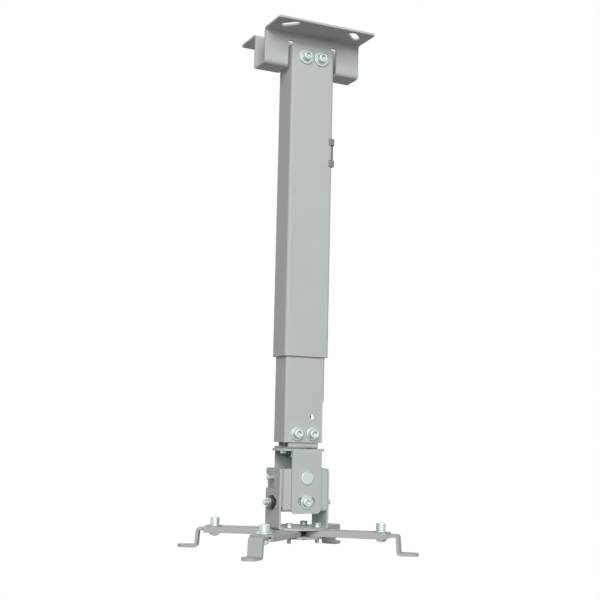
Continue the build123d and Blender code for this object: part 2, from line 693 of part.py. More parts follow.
# Lower bracket: round base, left and right legs folded up. A hook open to the back
# hangs each leg on its pin, and a curved slot below it takes the lock stud.
with BuildPart() as lower_bracket:
    with BuildSketch(Plane.XZ):
        with BuildLine():
            Polyline(*u_section(LOWER_X / 2, LOWER_TOP, BASE_BOTTOM), close=True)
        make_face()
    extrude(amount=LOWER_LEG_Y / 2, both=True)
    fillet(edges_at(lower_bracket, Axis.Y, Z=BASE_BOTTOM), BEND_OUT)
    fillet(edges_at(lower_bracket, Axis.Y, Z=BASE_TOP), BEND_IN)
    fillet(edges_at(lower_bracket, Axis.X, Y=LOWER_LEG_Y / 2, Z=LOWER_TOP), LOWER_CORNER)
    with BuildSketch(Plane.XY.offset(BASE_BOTTOM)):
        Circle(LOWER_R)
        Rectangle(LOWER_X - 2 * BEND_OUT, 2 * LOWER_R, mode=Mode.INTERSECT)
    extrude(amount=SHEET)
    hook_top = PITCH_Z + PIN_R + RUN
    hook_bottom = PITCH_Z - HOOK_DROP
    hook_end = -PIN_R - RUN
    hook_mouth = LOWER_LEG_Y / 2 + 1
    with BuildSketch(Plane.YZ):
        with Locations(((hook_end + hook_mouth) / 2, (hook_top + hook_bottom) / 2)):
            Rectangle(hook_mouth - hook_end, hook_top - hook_bottom)
    extrude(amount=LOWER_X, both=True, mode=Mode.SUBTRACT)
    fillet(edges_at(lower_bracket, Axis.X, Y=hook_end, Z=hook_top), PIN_R + RUN)
    fillet(edges_at(lower_bracket, Axis.X, Y=hook_end, Z=hook_bottom), HOOK_CORNER)
    with BuildSketch(Plane.YZ):
        with BuildLine(mode=Mode.PRIVATE) as pitch_path:
            CenterArc((0, PITCH_Z), PITCH_Z - PITCH_LOCK_Z, 270 - TILT, 2 * TILT)
        SlotArc(pitch_path.wire(), 2 * LOCK_SLOT)
    extrude(amount=LOWER_X, both=True, mode=Mode.SUBTRACT)
    with BuildSketch(Plane.XY.offset(BASE_BOTTOM)):
        with GridLocations(2 * ARM_PIVOT, 2 * ARM_PIVOT, 2, 2):
            Circle(M4_SCREW[0] + RUN)
    extrude(amount=SHEET, mode=Mode.SUBTRACT)
save(lower_bracket, "lower_bracket")

# Pitch pins and lock studs, put through the block's side plates from inside
block_in_x = BLOCK_X / 2 - SHEET
with BuildPart() as pitch_pivots:
    with Locations(*side_places(block_in_x, PITCH_Z, outward=-1)):
        add(headed_pin(STUD_HEAD_R, STUD_HEAD_T, PIN_R, LOWER_X / 2 + PIN_OUT - block_in_x))
save(pitch_pivots, "pitch_pivots")

stud_tip = LOWER_X / 2 + PAD_T + M5_NUT[2] + STUD_END
with BuildPart() as pitch_bolts:
    with Locations(*side_places(block_in_x, PITCH_LOCK_Z, outward=-1)):
        add(headed_pin(STUD_HEAD_R, STUD_HEAD_T, M5_NUT[0], stud_tip - block_in_x))
save(pitch_bolts, "pitch_bolts")

with BuildPart() as pitch_pads:
    with Locations(*side_places(LOWER_X / 2, PITCH_LOCK_Z)):
        add(washer(PAD_R, SCREW_HOLE, PAD_T))
save(pitch_pads, "pitch_pads")

with BuildPart() as pitch_nuts:
    with Locations(*side_places(LOWER_X / 2 + PAD_T, PITCH_LOCK_Z)):
        add(hex_nut(M5_NUT))
save(pitch_nuts, "pitch_nuts")

# Lower disc and the four screws that the arms turn on
with BuildPart() as lower_disc:
    with BuildSketch(Plane.XY.offset(DISC_BOTTOM)):
        Circle(LOWER_R)
        with GridLocations(2 * ARM_PIVOT, 2 * ARM_PIVOT, 2, 2):
            Circle(M4_SCREW[0] + RUN, mode=Mode.SUBTRACT)
    extrude(amount=DISC_T)
    rims = lower_disc.edges().filter_by(GeomType.CIRCLE).sort_by(SortBy.RADIUS)[-2:]
    chamfer(rims, DISC_EDGE)
save(lower_disc, "lower_disc")

with BuildPart() as arm_pivots:
    with Locations((0, 0, BASE_TOP)):
        with GridLocations(2 * ARM_PIVOT, 2 * ARM_PIVOT, 2, 2):
            add(cap_screw(M4_SCREW, BASE_TOP - DISC_BOTTOM + ARM_SCREW_TAIL))
save(arm_pivots, "arm_pivots")

# One arm along +X, pivot at the origin: pressed channel, open at its outer end
def pressed_arm(length):
    half = ARM_W / 2
    arm_bottom = ARM_TOP - ARM_H
    slot_end = length - ARM_SLOT_MARGIN
    with BuildPart() as arm:
        with BuildSketch(Plane.XY.offset(arm_bottom)):
            Circle(half)
            with Locations((length / 2, 0)):
                Rectangle(length, ARM_W)
        extrude(amount=ARM_H)
        top_edges = arm.edges().group_by(Axis.Z)[-1]
        fillet(top_edges.filter_by(lambda e: e.center().X < length - 1), ARM_CROWN)
        with BuildSketch(Plane.XY.offset(arm_bottom + ARM_LIP_T)):
            Circle(half - ARM_T)
            with Locations((length / 2, 0)):
                Rectangle(length + 2, ARM_W - 2 * ARM_T)
        extrude(amount=ARM_H - ARM_T - ARM_LIP_T, mode=Mode.SUBTRACT)
        with BuildSketch(Plane.XY.offset(arm_bottom)):
            Circle(FOOT_W / 2 + ARM_LIP_GAP)
            with Locations((length / 2, 0)):
                Rectangle(length + 2, FOOT_W + 2 * ARM_LIP_GAP)
        extrude(amount=ARM_LIP_T, mode=Mode.SUBTRACT)
        with BuildSketch(Plane.XY.offset(ARM_TOP - ARM_T)):
            Circle(M4_SCREW[0] + RUN)
            with Locations(((ARM_SLOT_START + slot_end) / 2, 0)):
                SlotCenterToCenter(slot_end - ARM_SLOT_START, 2 * SCREW_HOLE)
        extrude(amount=ARM_T, mode=Mode.SUBTRACT)
    return arm.part


# One foot along +X, its screw at the origin: Z-shaped strip with a round toe
with BuildPart() as foot:
    heel = FOOT_REACH
    toe_start = FOOT_REACH + FOOT_LEAN
    toe_end = toe_start + FOOT_TOE
    with BuildSketch(Plane.XZ):
        with BuildLine():
            Polyline(
                (-FOOT_BACK, FOOT_TOP), (heel, FOOT_TOP), (toe_start, FOOT_BOTTOM + FOOT_T),
                (toe_end, FOOT_BOTTOM + FOOT_T), (toe_end, FOOT_BOTTOM),
                (toe_start - FOOT_T, FOOT_BOTTOM), (heel - FOOT_T, FOOT_TOP - FOOT_T),
                (-FOOT_BACK, FOOT_TOP - FOOT_T),
                close=True,
            )
        make_face()
    extrude(amount=FOOT_W / 2, both=True)
    fillet(edges_at(foot, Axis.Y, X=heel, Z=FOOT_TOP), FOOT_FOLD_OUT)
    fillet(edges_at(foot, Axis.Y, X=heel - FOOT_T, Z=FOOT_TOP - FOOT_T), FOOT_FOLD_IN)
    fillet(edges_at(foot, Axis.Y, X=toe_start - FOOT_T, Z=FOOT_BOTTOM), FOOT_FOLD_OUT)
    fillet(edges_at(foot, Axis.Y, X=toe_start, Z=FOOT_BOTTOM + FOOT_T), FOOT_FOLD_IN)
    fillet(edges_at(foot, Axis.Z, X=toe_end), FOOT_W / 2 - 0.1)
    fillet(edges_at(foot, Axis.Z, X=FOOT_BACK), FOOT_CORNER)
    with BuildSketch(Plane.XY.offset(FOOT_BOTTOM)):
        with Locations((toe_end - FOOT_W / 2, 0)):
            Circle(FOOT_HOLE_R)
    extrude(amount=FOOT_T, mode=Mode.SUBTRACT)
    with BuildSketch(Plane.XY.offset(FOOT_TOP - FOOT_T)):
        Circle(SCREW_HOLE)
    extrude(amount=FOOT_T, mode=Mode.SUBTRACT)

foot_washer = washer(FOOT_WASHER_R, SCREW_HOLE, FOOT_WASHER_T)
foot_grip = FOOT_WASHER_T + ARM_T + FOOT_T + M5_NUT[2]
foot_screw = cap_screw(ARM_SCREW, foot_grip + FOOT_SCREW_END)
foot_nut = hex_nut(M5_NUT)

for name, (quadrant, swing, length, inset) in ARMS.items():
    base = Location((quadrant[0] * ARM_PIVOT, quadrant[1] * ARM_PIVOT, 0), (0, 0, swing))
    seat = base * Location((length - inset, 0, 0))
    with BuildPart() as placed_arm:
        with Locations(base):
            add(pressed_arm(length))
    save(placed_arm, f"arm_{name}")
    with BuildPart() as placed_foot:
        with Locations(seat):
            add(foot.part)
    save(placed_foot, f"foot_{name}")
    with BuildPart() as placed_washer:
        with Locations(seat * Location((0, 0, ARM_TOP))):
            add(foot_washer)
    save(placed_washer, f"foot_washer_{name}")
    with BuildPart() as placed_screw:
        with Locations(seat * Location((0, 0, ARM_TOP + FOOT_WASHER_T))):
            add(foot_screw)
    save(placed_screw, f"foot_screw_{name}")
    with BuildPart() as placed_nut:
        with Locations(seat * Location((0, 0, FOOT_TOP - FOOT_T - M5_NUT[2]))):
            add(foot_nut)
    save(placed_nut, f"foot_nut_{name}")
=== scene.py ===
# %% [markdown]
# # A telescopic ceiling mount for a projector
# The mount is a folded steel bracket, two nested tubes, a swivel and tilt head, and four
# arms with sliding feet. All of that is already solid geometry, so this lesson loads it and
# gives it what a camera sees: finishes, rounded edges, real screws and a quiet studio.

# %% Load the frame
import json
import math

import bmesh
import bpy
from mathutils import Matrix, Vector


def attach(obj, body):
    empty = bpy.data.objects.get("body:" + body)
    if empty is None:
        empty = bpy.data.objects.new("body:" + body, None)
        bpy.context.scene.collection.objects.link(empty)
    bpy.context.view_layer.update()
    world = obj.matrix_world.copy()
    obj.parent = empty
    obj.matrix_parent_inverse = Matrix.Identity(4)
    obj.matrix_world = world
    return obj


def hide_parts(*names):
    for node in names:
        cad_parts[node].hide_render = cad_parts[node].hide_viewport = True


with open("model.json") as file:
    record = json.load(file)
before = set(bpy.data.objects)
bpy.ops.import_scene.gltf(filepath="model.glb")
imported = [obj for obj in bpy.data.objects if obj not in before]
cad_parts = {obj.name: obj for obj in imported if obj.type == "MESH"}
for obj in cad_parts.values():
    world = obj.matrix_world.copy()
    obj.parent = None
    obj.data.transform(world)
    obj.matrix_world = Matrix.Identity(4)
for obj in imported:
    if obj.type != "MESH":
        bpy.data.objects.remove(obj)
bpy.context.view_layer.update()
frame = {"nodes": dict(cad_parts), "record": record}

MM = 0.001

# %% [markdown]
# ## The camera
# The picture looks a little upwards at the mount from its front left. A camera is a place,
# a direction and a lens. Here the place and the two turns come from measuring straight
# edges of the mount in the picture, and a small roll tips the horizon as the picture does.

# %% Camera
CAMERA_PLACE = Vector((-0.44665, -0.92231, -0.38269))
CAMERA_HEADING = math.radians(-25.76)
CAMERA_PITCH = math.radians(7.11)
CAMERA_ROLL = math.radians(1.28)
CAMERA_LENS = 65.73
SENSOR_MM = 36.0
NEAREST_M = 0.01

forward = Vector((
    -math.sin(CAMERA_HEADING) * math.cos(CAMERA_PITCH),
    math.cos(CAMERA_HEADING) * math.cos(CAMERA_PITCH),
    math.sin(CAMERA_PITCH),
))
level = Vector((math.cos(CAMERA_HEADING), math.sin(CAMERA_HEADING), 0.0))
upright = level.cross(forward)
right = level * math.cos(CAMERA_ROLL) + upright * math.sin(CAMERA_ROLL)
up = upright * math.cos(CAMERA_ROLL) - level * math.sin(CAMERA_ROLL)

camera_data = bpy.data.cameras.new("camera")
camera_data.lens = CAMERA_LENS
camera_data.sensor_width = SENSOR_MM
camera_data.clip_start = NEAREST_M
camera = bpy.data.objects.new("camera", camera_data)
bpy.context.scene.collection.objects.link(camera)
camera.matrix_world = Matrix((
    (right.x, up.x, -forward.x, CAMERA_PLACE.x),
    (right.y, up.y, -forward.y, CAMERA_PLACE.y),
    (right.z, up.z, -forward.z, CAMERA_PLACE.z),
    (0.0, 0.0, 0.0, 1.0),
))
bpy.context.scene.camera = camera
bpy.context.scene.view_settings.view_transform = "Standard"
print("camera looks along", [round(v, 3) for v in forward])

# %% [markdown]
# ## Colours and nodes
# Paint charts and screens give colours as sRGB hex values, but a shader wants linear light.
# One function does that step. A second one adds a shader node with its settings and links,
# so each finish below reads as a short recipe.

# %% Colour and node helpers
def linear(hex_colour):
    parts = [int(hex_colour[i:i + 2], 16) / 255 for i in (1, 3, 5)]
    values = [p / 12.92 if p <= 0.04045 else ((p + 0.055) / 1.055) ** 2.4 for p in parts]
    return (*values, 1.0)


def add_node(tree, kind, settings=(), links=()):
    """Adds a node. settings are name: value, links are input: output of another node."""
    made = tree.nodes.new(kind)
    for name, value in dict(settings).items():
        if isinstance(name, str) and hasattr(made, name):
            setattr(made, name, value)
        else:
            made.inputs[name].default_value = value
    for name, output in dict(links).items():
        tree.links.new(output, made.inputs[name])
    return made


def new_finish(name):
    finish = bpy.data.materials.new(name)
    finish.use_nodes = True
    finish.node_tree.nodes.clear()
    return finish, finish.node_tree


def close_finish(tree, shader):
    add_node(tree, "ShaderNodeOutputMaterial", links={"Surface": shader.outputs[0]})


print("white is", linear("#FFFFFF")[:3])

# %% [markdown]
# ## Polyester powder coat on steel sheet
# The bracket, tubes, head, arms and feet are folded from cold-rolled sheet and powder
# coated in a cool light grey. The powder melts into a skin about 0.08 mm thick with a faint
# orange-peel ripple of about 1 mm and a dull sheen. The ripple only shows in the
# highlights, so it is a small bump on an even colour, with a slight change in sheen. The
# coat also pulls back from sharp edges: a bevel node rounds them where light is reflected,
# which catches the thin bright lines along the cut sheet.

# %% Powder coat
COAT_COLOUR = "#BFC3C5"
COAT_COLOUR_LOW = "#B9BDBF"
COAT_IOR = 1.5
COAT_SPECULAR = 0.2
COAT_ROUGHNESS = (0.7, 0.82)
COAT_EDGE_MM = 0.35
EDGE_SAMPLES = 4
RIPPLE_MM = 1.1
RIPPLE_NOISE = {"Scale": 1 / (RIPPLE_MM * MM), "Detail": 1.5, "Roughness": 0.45}
RIPPLE_STRENGTH = 0.12
CLOUD_MM = 38.0
CLOUD_NOISE = {"Scale": 1 / (CLOUD_MM * MM), "Detail": 3.0, "Roughness": 0.6}
NOISE_SPAN = {"From Min": 0.3, "From Max": 0.7}
BUMP_DEPTH_MM = 0.02


def powder_coat(name, colour, shade):
    finish, tree = new_finish(name)
    place = add_node(tree, "ShaderNodeTexCoord").outputs["Object"]
    ripple = add_node(tree, "ShaderNodeTexNoise", RIPPLE_NOISE, {"Vector": place})
    cloud = add_node(tree, "ShaderNodeTexNoise", CLOUD_NOISE, {"Vector": place})
    sheen = add_node(
        tree, "ShaderNodeMapRange",
        {**NOISE_SPAN, "To Min": COAT_ROUGHNESS[0], "To Max": COAT_ROUGHNESS[1]},
        {"Value": cloud.outputs[0]})
    tone = add_node(tree, "ShaderNodeMix", {"data_type": "RGBA"}, {0: cloud.outputs[0]})
    tone.inputs[6].default_value = linear(shade)
    tone.inputs[7].default_value = linear(colour)
    edge = add_node(tree, "ShaderNodeBevel", {"samples": EDGE_SAMPLES, "Radius": COAT_EDGE_MM * MM})
    peel = add_node(
        tree, "ShaderNodeBump", {"Strength": RIPPLE_STRENGTH, "Distance": BUMP_DEPTH_MM * MM},
        {"Height": ripple.outputs[0], "Normal": edge.outputs[0]})
    coat = add_node(
        tree, "ShaderNodeBsdfPrincipled", {"IOR": COAT_IOR, "Specular IOR Level": COAT_SPECULAR},
        {"Base Color": tone.outputs[2], "Roughness": sheen.outputs[0], "Normal": peel.outputs[0]})
    close_finish(tree, coat)
    return finish


grey_coat = powder_coat("powder_coated_steel", COAT_COLOUR, COAT_COLOUR_LOW)
print("powder coat", COAT_COLOUR, "ripple", RIPPLE_MM, "mm")

# %% [markdown]
# ## Painted shade on the arms
# The arms, their feet and the disc under them look a shade darker than the tubes and the
# head, from the way the light falls on them. That shade is painted in: they take the same
# recipe with a slightly deeper grey.

# %% Darker powder coat
# painted shade: a deeper grey copy of the same coat for the arms, feet and disc
ARM_SHADED_COLOUR = "#B4B7B9"
ARM_SHADED_COLOUR_LOW = "#AEB1B3"
shaded_arm_coat = powder_coat("powder_coat_painted_shade", ARM_SHADED_COLOUR, ARM_SHADED_COLOUR_LOW)
print("arms", ARM_SHADED_COLOUR)

# %% [markdown]
# ## Zinc plate on screws, nuts and washers
# The fasteners are carbon steel with a clear-passivated zinc plate. It is a metal, so its
# colour sits in its reflection: a pale grey with a cool, slightly green cast. Barrel
# plating leaves it finely mottled, which softens the mirror into a bright satin. The mottle
# of a real screw is too fine to show, so it is drawn at 1.6 mm.

# %% Zinc plate
ZINC_COLOUR = "#C9D4D2"
ZINC_COLOUR_LOW = "#AFBAB8"
ZINC_ROUGHNESS = (0.42, 0.56)
MOTTLE_MM = 1.6
MOTTLE_NOISE = {"Scale": 1 / (MOTTLE_MM * MM), "Detail": 3.0, "Roughness": 0.6}
MOTTLE_STRENGTH = 0.1


def zinc_plate(name):
    finish, tree = new_finish(name)
    place = add_node(tree, "ShaderNodeTexCoord").outputs["Object"]
    mottle = add_node(tree, "ShaderNodeTexNoise", MOTTLE_NOISE, {"Vector": place})
    gloss = add_node(
        tree, "ShaderNodeMapRange",
        {**NOISE_SPAN, "To Min": ZINC_ROUGHNESS[0], "To Max": ZINC_ROUGHNESS[1]},
        {"Value": mottle.outputs[0]})
    tone = add_node(tree, "ShaderNodeMix", {"data_type": "RGBA"}, {0: mottle.outputs[0]})
    tone.inputs[6].default_value = linear(ZINC_COLOUR_LOW)
    tone.inputs[7].default_value = linear(ZINC_COLOUR)
    grain = add_node(
        tree, "ShaderNodeBump", {"Strength": MOTTLE_STRENGTH, "Distance": BUMP_DEPTH_MM * MM},
        {"Height": mottle.outputs[0]})
    plate = add_node(
        tree, "ShaderNodeBsdfPrincipled", {"Metallic": 1.0},
        {"Base Color": tone.outputs[2], "Roughness": gloss.outputs[0], "Normal": grain.outputs[0]})
    close_finish(tree, plate)
    return finish


zinc = zinc_plate("clear_zinc_plate")
print("zinc plate", ZINC_COLOUR)

# %% [markdown]
# ## Grey polyamide and black washers
# The guard of the cable entry is moulded in grey polyamide, and the washers of the side
# locks are black. Both are moulded with a fine spark-eroded grain, so they scatter light
# evenly and keep a soft highlight. The real grain is finer, and is drawn at 0.9 mm so that
# it shows. The moulds have rounded corners, which a bevel node gives to the shading.

# %% Moulded plastics
GUARD_COLOUR = "#7C7F80"
WASHER_COLOUR = "#202122"
POLYAMIDE_IOR = 1.53
POLYAMIDE_ROUGHNESS = (0.44, 0.56)
GRAIN_MM = 0.9
GRAIN_STRENGTH = 0.2
MOULD_EDGE_MM = 0.5


def moulded_plastic(name, colour):
    finish, tree = new_finish(name)
    place = add_node(tree, "ShaderNodeTexCoord").outputs["Object"]
    grain = add_node(
        tree, "ShaderNodeTexVoronoi", {"Scale": 1 / (GRAIN_MM * MM)}, {"Vector": place})
    gloss = add_node(
        tree, "ShaderNodeMapRange",
        {"To Min": POLYAMIDE_ROUGHNESS[0], "To Max": POLYAMIDE_ROUGHNESS[1]},
        {"Value": grain.outputs[0]})
    edge = add_node(tree, "ShaderNodeBevel", {"samples": EDGE_SAMPLES, "Radius": MOULD_EDGE_MM * MM})
    relief = add_node(
        tree, "ShaderNodeBump", {"Strength": GRAIN_STRENGTH, "Distance": BUMP_DEPTH_MM * MM},
        {"Height": grain.outputs[0], "Normal": edge.outputs[0]})
    plastic = add_node(
        tree, "ShaderNodeBsdfPrincipled", {"Base Color": linear(colour), "IOR": POLYAMIDE_IOR},
        {"Roughness": gloss.outputs[0], "Normal": relief.outputs[0]})
    close_finish(tree, plastic)
    return finish


guard_plastic = moulded_plastic("moulded_polyamide", GUARD_COLOUR)
black_plastic = moulded_plastic("black_polyamide", WASHER_COLOUR)
FINISHES = {
    "grey_coat": grey_coat, "zinc": zinc,
    "dark_plastic": guard_plastic, "black_washer": black_plastic,
}
print("finishes", sorted(FINISHES))

# %% [markdown]
# ## Dress the frame
# Each solid of the frame keeps its shape and takes the finish that the record names for it,
# apart from the arms, feet and disc, which take the deeper grey of their painted shade. The
# record also says which body carries a solid, which the new screws need further down.

# %% Finish of each node
slot_of = {s["node"]: s["material_slot"] for s in frame["record"]["subparts"]}
body_of = {n: b for b, nodes in frame["record"]["behaviour"]["bodies"].items() for n in nodes}
ARM_NAMES = ("arm_", "foot_", "lower_disc")
shaded_arm_sheets = [n for n, slot in slot_of.items() if slot == "grey_coat" and n.startswith(ARM_NAMES)]
for name, solid in frame["nodes"].items():
    solid.data.materials.clear()
    # the arms, feet and disc take the coat with painted shade
    solid.data.materials.append(shaded_arm_coat if name in shaded_arm_sheets else FINISHES[slot_of[name]])
print("dressed", len(slot_of), "nodes,", len(shaded_arm_sheets), "in the arms' grey")

# %% [markdown]
# ## Where the fasteners sit
# The frame holds plain stand-ins for the screws, nuts and washers, several alike in one
# node. A detailed one goes exactly where its stand-in is. To find the places, the mesh of
# a node is split into its loose solids. The box round each gives its axis, its outer end
# and its length, so no place has to be typed again.

# %% Loose solids of a node
WELD_MM = 0.001


def loose_solids(node):
    """Lowest and highest corner of each separate solid of a node, in metres."""
    work = bmesh.new()
    work.from_mesh(frame["nodes"][node].data)
    bmesh.ops.remove_doubles(work, verts=work.verts, dist=WELD_MM * MM)
    waiting = set(work.verts)
    boxes = []
    while waiting:
        heap = [waiting.pop()]
        points = []
        while heap:
            corner = heap.pop()
            points.append(corner.co.copy())
            for edge in corner.link_edges:
                other = edge.other_vert(corner)
                if other in waiting:
                    waiting.remove(other)
                    heap.append(other)
        low = Vector([min(p[i] for p in points) for i in range(3)])
        high = Vector([max(p[i] for p in points) for i in range(3)])
        boxes.append((low, high))
    work.free()
    return sorted(boxes, key=lambda box: [round(v, 5) for v in box[0]])


print("top screws", len(loose_solids("top_screws")))

# %% [markdown]
# ## Which way each one points
# A screw looks out of the face that it is driven into: front or back, left or right, up or
# down. Its matrix puts the outer end at the origin and +Z outward. A hexagon has a corner
# along X, and on the feet along the arm, as a spanner would leave it.

# %% Place of each solid
FACES = "front and back"
joints = frame["record"]["behaviour"]["joints"]
slide_axis = {j["child"]: Vector(j["axis"]) for j in joints if j["type"] == "slide"}


def places(node, facing):
    """A matrix and a length in millimetres for each solid of a node."""
    found = []
    for low, high in loose_solids(node):
        middle = (low + high) / 2
        if facing == FACES:
            outward = Vector((0, math.copysign(1, middle.y), 0))
            corner = Vector((1, 0, 0))
        elif facing == "sides":
            outward = Vector((math.copysign(1, middle.x), 0, 0))
            corner = Vector((0, 1, 0))
        else:
            outward = Vector((0, 0, 1 if facing == "up" else -1))
            corner = slide_axis.get(body_of[node], Vector((1, 0, 0)))
            # the tube slides straight up, which gives a hexagon no direction
            if abs(corner.z) > 0.5:
                corner = Vector((1, 0, 0))
        length = abs((high - low).dot(outward))
        tip = middle + outward * length / 2
        side = outward.cross(corner)
        turn = Matrix((corner, side, outward)).transposed().to_4x4()
        found.append((Matrix.Translation(tip) @ turn, length / MM))
    return found


print("first place", [round(v, 4) for v in places("top_screws", FACES)[0][0].translation])

# %% [markdown]
# ## Turning on the lathe
# A screw, a nut and a washer are all turned about an axis. So one function stacks rings of
# points and joins them. A ring's radius is a number, or a rule that depends on the angle,
# which makes the hexagon of a nut, the knurl of a head and the helix of a thread with the
# same few lines. Sizes here are in millimetres, as in a screw table.

# %% Rings into a solid
def turn_solid(work, place, rings, steps, hollow=False):
    """Joins rings (height, radius) to a closed solid, or to a ring with a hole."""
    rows = []
    for height, radius in rings:
        row = []
        for i in range(steps):
            angle = 2 * math.pi * i / steps
            r = radius(angle) if callable(radius) else radius
            spot = Vector((r * math.cos(angle), r * math.sin(angle), height)) * MM
            row.append(work.verts.new(place @ spot))
        rows.append(row)
    pairs = list(zip(rows, rows[1:]))
    if hollow:
        pairs.append((rows[-1], rows[0]))
    for upper, lower in pairs:
        for i in range(steps):
            j = (i + 1) % steps
            work.faces.new((upper[i], lower[i], lower[j], upper[j]))
    if not hollow:
        work.faces.new(rows[0])
        work.faces.new(list(reversed(rows[-1])))


def hexagon(flats):
    """Radius rule of a hexagon across its flats, one corner at angle 0."""
    return lambda angle: flats / 2 / math.cos(angle % (math.pi / 3) - math.pi / 6)


def knurled(radius, depth, steps):
    """Radius rule that steps in and out at every second point."""
    return lambda angle: radius - depth * (round(angle / (2 * math.pi) * steps) % 2)


def threaded(height, outer, depth, pitch):
    """Radius rule of a right-hand thread at one height."""
    def radius(angle):
        phase = (height / pitch - angle / (2 * math.pi)) % 1.0
        return outer - depth * abs(2 * phase - 1)
    return radius


# the thread's depth is a share of its pitch, and four rings a turn are enough to show it
THREAD_DEPTH = 0.6
RINGS_A_TURN = 4
TIP_MM = 0.4
RUN_OUT = 0.1


def thread_rings(start, end, outer, pitch):
    """Rings of a thread from start down to end, with a small point at its tip."""
    depth = THREAD_DEPTH * pitch
    run = start - end - TIP_MM
    count = max(2, round(run / (pitch / RINGS_A_TURN)))
    heights = [start - run * i / count for i in range(count + 1)]
    rings = [(h, threaded(h, outer, depth, pitch)) for h in heights]
    return rings + [(end, outer - depth)]


print("corner of an 8 mm hexagon", round(hexagon(8.0)(0.0), 3))

# %% [markdown]
# ## Socket cap screws
# The screws are cap screws with a rounded rim and a hexagon socket. Those of the tubes, the
# height lock and the arms have a knurled head, the others a smooth one. The profile starts
# in the bottom of the socket, climbs its wall, goes over the rim and down the side of the
# head, and then follows the shank. The knurl's teeth are drawn about as coarse as on the
# real head, 36 round it. Where an end shows below its nut, the shank gets its thread.

# %% Cap screws
SCREW_STEPS = 72
M5_CAP = {"shank": 2.5, "head": 4.25, "height": 5.0, "key": 4.0, "pitch": 0.8}
M5_LOW_CAP = {"shank": 2.5, "head": 4.25, "height": 2.8, "key": 3.0, "pitch": 0.8}
M5_TALL_CAP = {"shank": 2.5, "head": 4.6, "height": 6.9, "key": 4.0, "pitch": 0.8}
M4_CAP = {"shank": 2.0, "head": 3.5, "height": 4.0, "key": 3.0, "pitch": 0.7}
STOP_CAP = {"shank": 2.0, "head": 4.0, "height": 2.9, "key": 2.5, "pitch": 0.7}

# depth below the top face, and how far inside the head's radius
CAP_RIM = ((0, 0.95), (0, 0.75), (0.08, 0.45), (0.25, 0.2), (0.5, 0.05), (0.75, 0))
# the socket is half as deep as the head, with a drilled point and a chamfered mouth
SOCKET_SHARE = 0.5
SOCKET_POINT = (0.5, 0.2)
SOCKET_LEAD = (0.3, 0.15)
# the knurl starts this far below the top and fades out this far above the underside
KNURL_DEPTH = 0.09
KNURL_TOP = 0.85
KNURL_LOW = 0.45
KNURL_END = 0.35
# small fillet where the head meets the shank
ROOT = 0.2


def cap_screw(work, place, length, size, thread=0.0, knurl=True):
    """Screw with its top face at height 0. size is one of the tables above."""
    head, height, key, shank = size["head"], size["height"], size["key"], size["shank"]
    deep = SOCKET_SHARE * height
    grip = knurled(head, KNURL_DEPTH, SCREW_STEPS) if knurl else head
    mouth = 0.5 * key / math.cos(math.pi / 6) + SOCKET_LEAD[1]
    rings = [(-deep - SOCKET_POINT[0], SOCKET_POINT[1]), (-deep, 0.5 * key), (-deep, hexagon(key))]
    rings += [(-SOCKET_LEAD[0], hexagon(key)), (0, mouth)]
    rings += [(-low, head - inset) for low, inset in CAP_RIM]
    rings += [(-KNURL_TOP, grip), (-height + KNURL_LOW, grip), (-height + KNURL_END, head)]
    rings += [(-height, head - ROOT), (-height, shank + ROOT), (-height - ROOT, shank)]
    if thread > 0:
        rings += [(-length + thread + RUN_OUT, shank)]
        rings += thread_rings(-length + thread, -length, shank, size["pitch"])
    else:
        rings += [(-length + TIP_MM, shank), (-length, shank - TIP_MM)]
    turn_solid(work, place, rings, SCREW_STEPS)


print("cap screw sizes", [s["head"] * 2 for s in (M5_CAP, M5_LOW_CAP, M5_TALL_CAP, M4_CAP)])

# %% [markdown]
# ## Nuts, washers and pins
# A nut is pressed as a hexagon, and a cone then cuts its corners back on both faces. That
# is the smaller of two radii at each point, the hexagon's and the cone's, which leaves the
# curved edges a real nut has. A washer is punched, so its rim is slightly rolled over. A
# pin's head is flat with a broken edge.

# %% Nuts and the hexagon bolt
HEXAGON_STEPS = 48
# radius of the flat face and start of the cone, as shares of the width across flats
FACE_SHARE = 0.44
CONE_SHARE = 0.475
CONE_SLOPE = 1.73
LEAD_IN = 0.4
NUT_CUTS = (0.0, 0.15, 0.3, 0.45, 0.62)
BOLT_CUTS = (0.0, 0.2, 0.4, 0.62, 0.85)


def cut_hexagon(flats, depth):
    """Radius rule of a hexagon whose corners a cone has cut, at a depth below the face."""
    plain = hexagon(flats)
    return lambda angle: min(plain(angle), CONE_SHARE * flats + CONE_SLOPE * depth)


def hex_nut(work, place, length, flats, hole):
    face = FACE_SHARE * flats
    rings = [(-LEAD_IN, hole), (0, hole + LEAD_IN), (0, face)]
    rings += [(-d, cut_hexagon(flats, d)) for d in NUT_CUTS]
    rings += [(-length + d, cut_hexagon(flats, d)) for d in reversed(NUT_CUTS)]
    rings += [(-length, face), (-length, hole + LEAD_IN), (-length + LEAD_IN, hole)]
    turn_solid(work, place, rings, HEXAGON_STEPS, hollow=True)


def hex_bolt(work, place, length, flats, height, shank, pitch, thread):
    rings = [(0, FACE_SHARE * flats)] + [(-d, cut_hexagon(flats, d)) for d in BOLT_CUTS]
    rings += [(-height, hexagon(flats)), (-height, shank + ROOT), (-height - ROOT, shank)]
    rings += [(-length + thread + RUN_OUT, shank)]
    rings += thread_rings(-length + thread, -length, shank, pitch)
    turn_solid(work, place, rings, HEXAGON_STEPS)


print("cone leaves", round(cut_hexagon(8.0, 0.0)(0.0), 2), "mm at a nut's corner")

# %% Washers, pins and studs
ROUND_STEPS = 64
ROLL_MM = 0.3
ROLL_SHARE = 0.25
BROKEN_EDGE = 0.5
# depth below the top face and distance inside the rim, the washer's in parts of its roll
WASHER_RIM = ((0, 1.6), (0, 1), (0.3, 0.3), (1, 0))
PIN_RIM = ((0, 0.7), (0, 0.5), (0.12, 0.2), (0.35, 0.02), (0.5, 0))


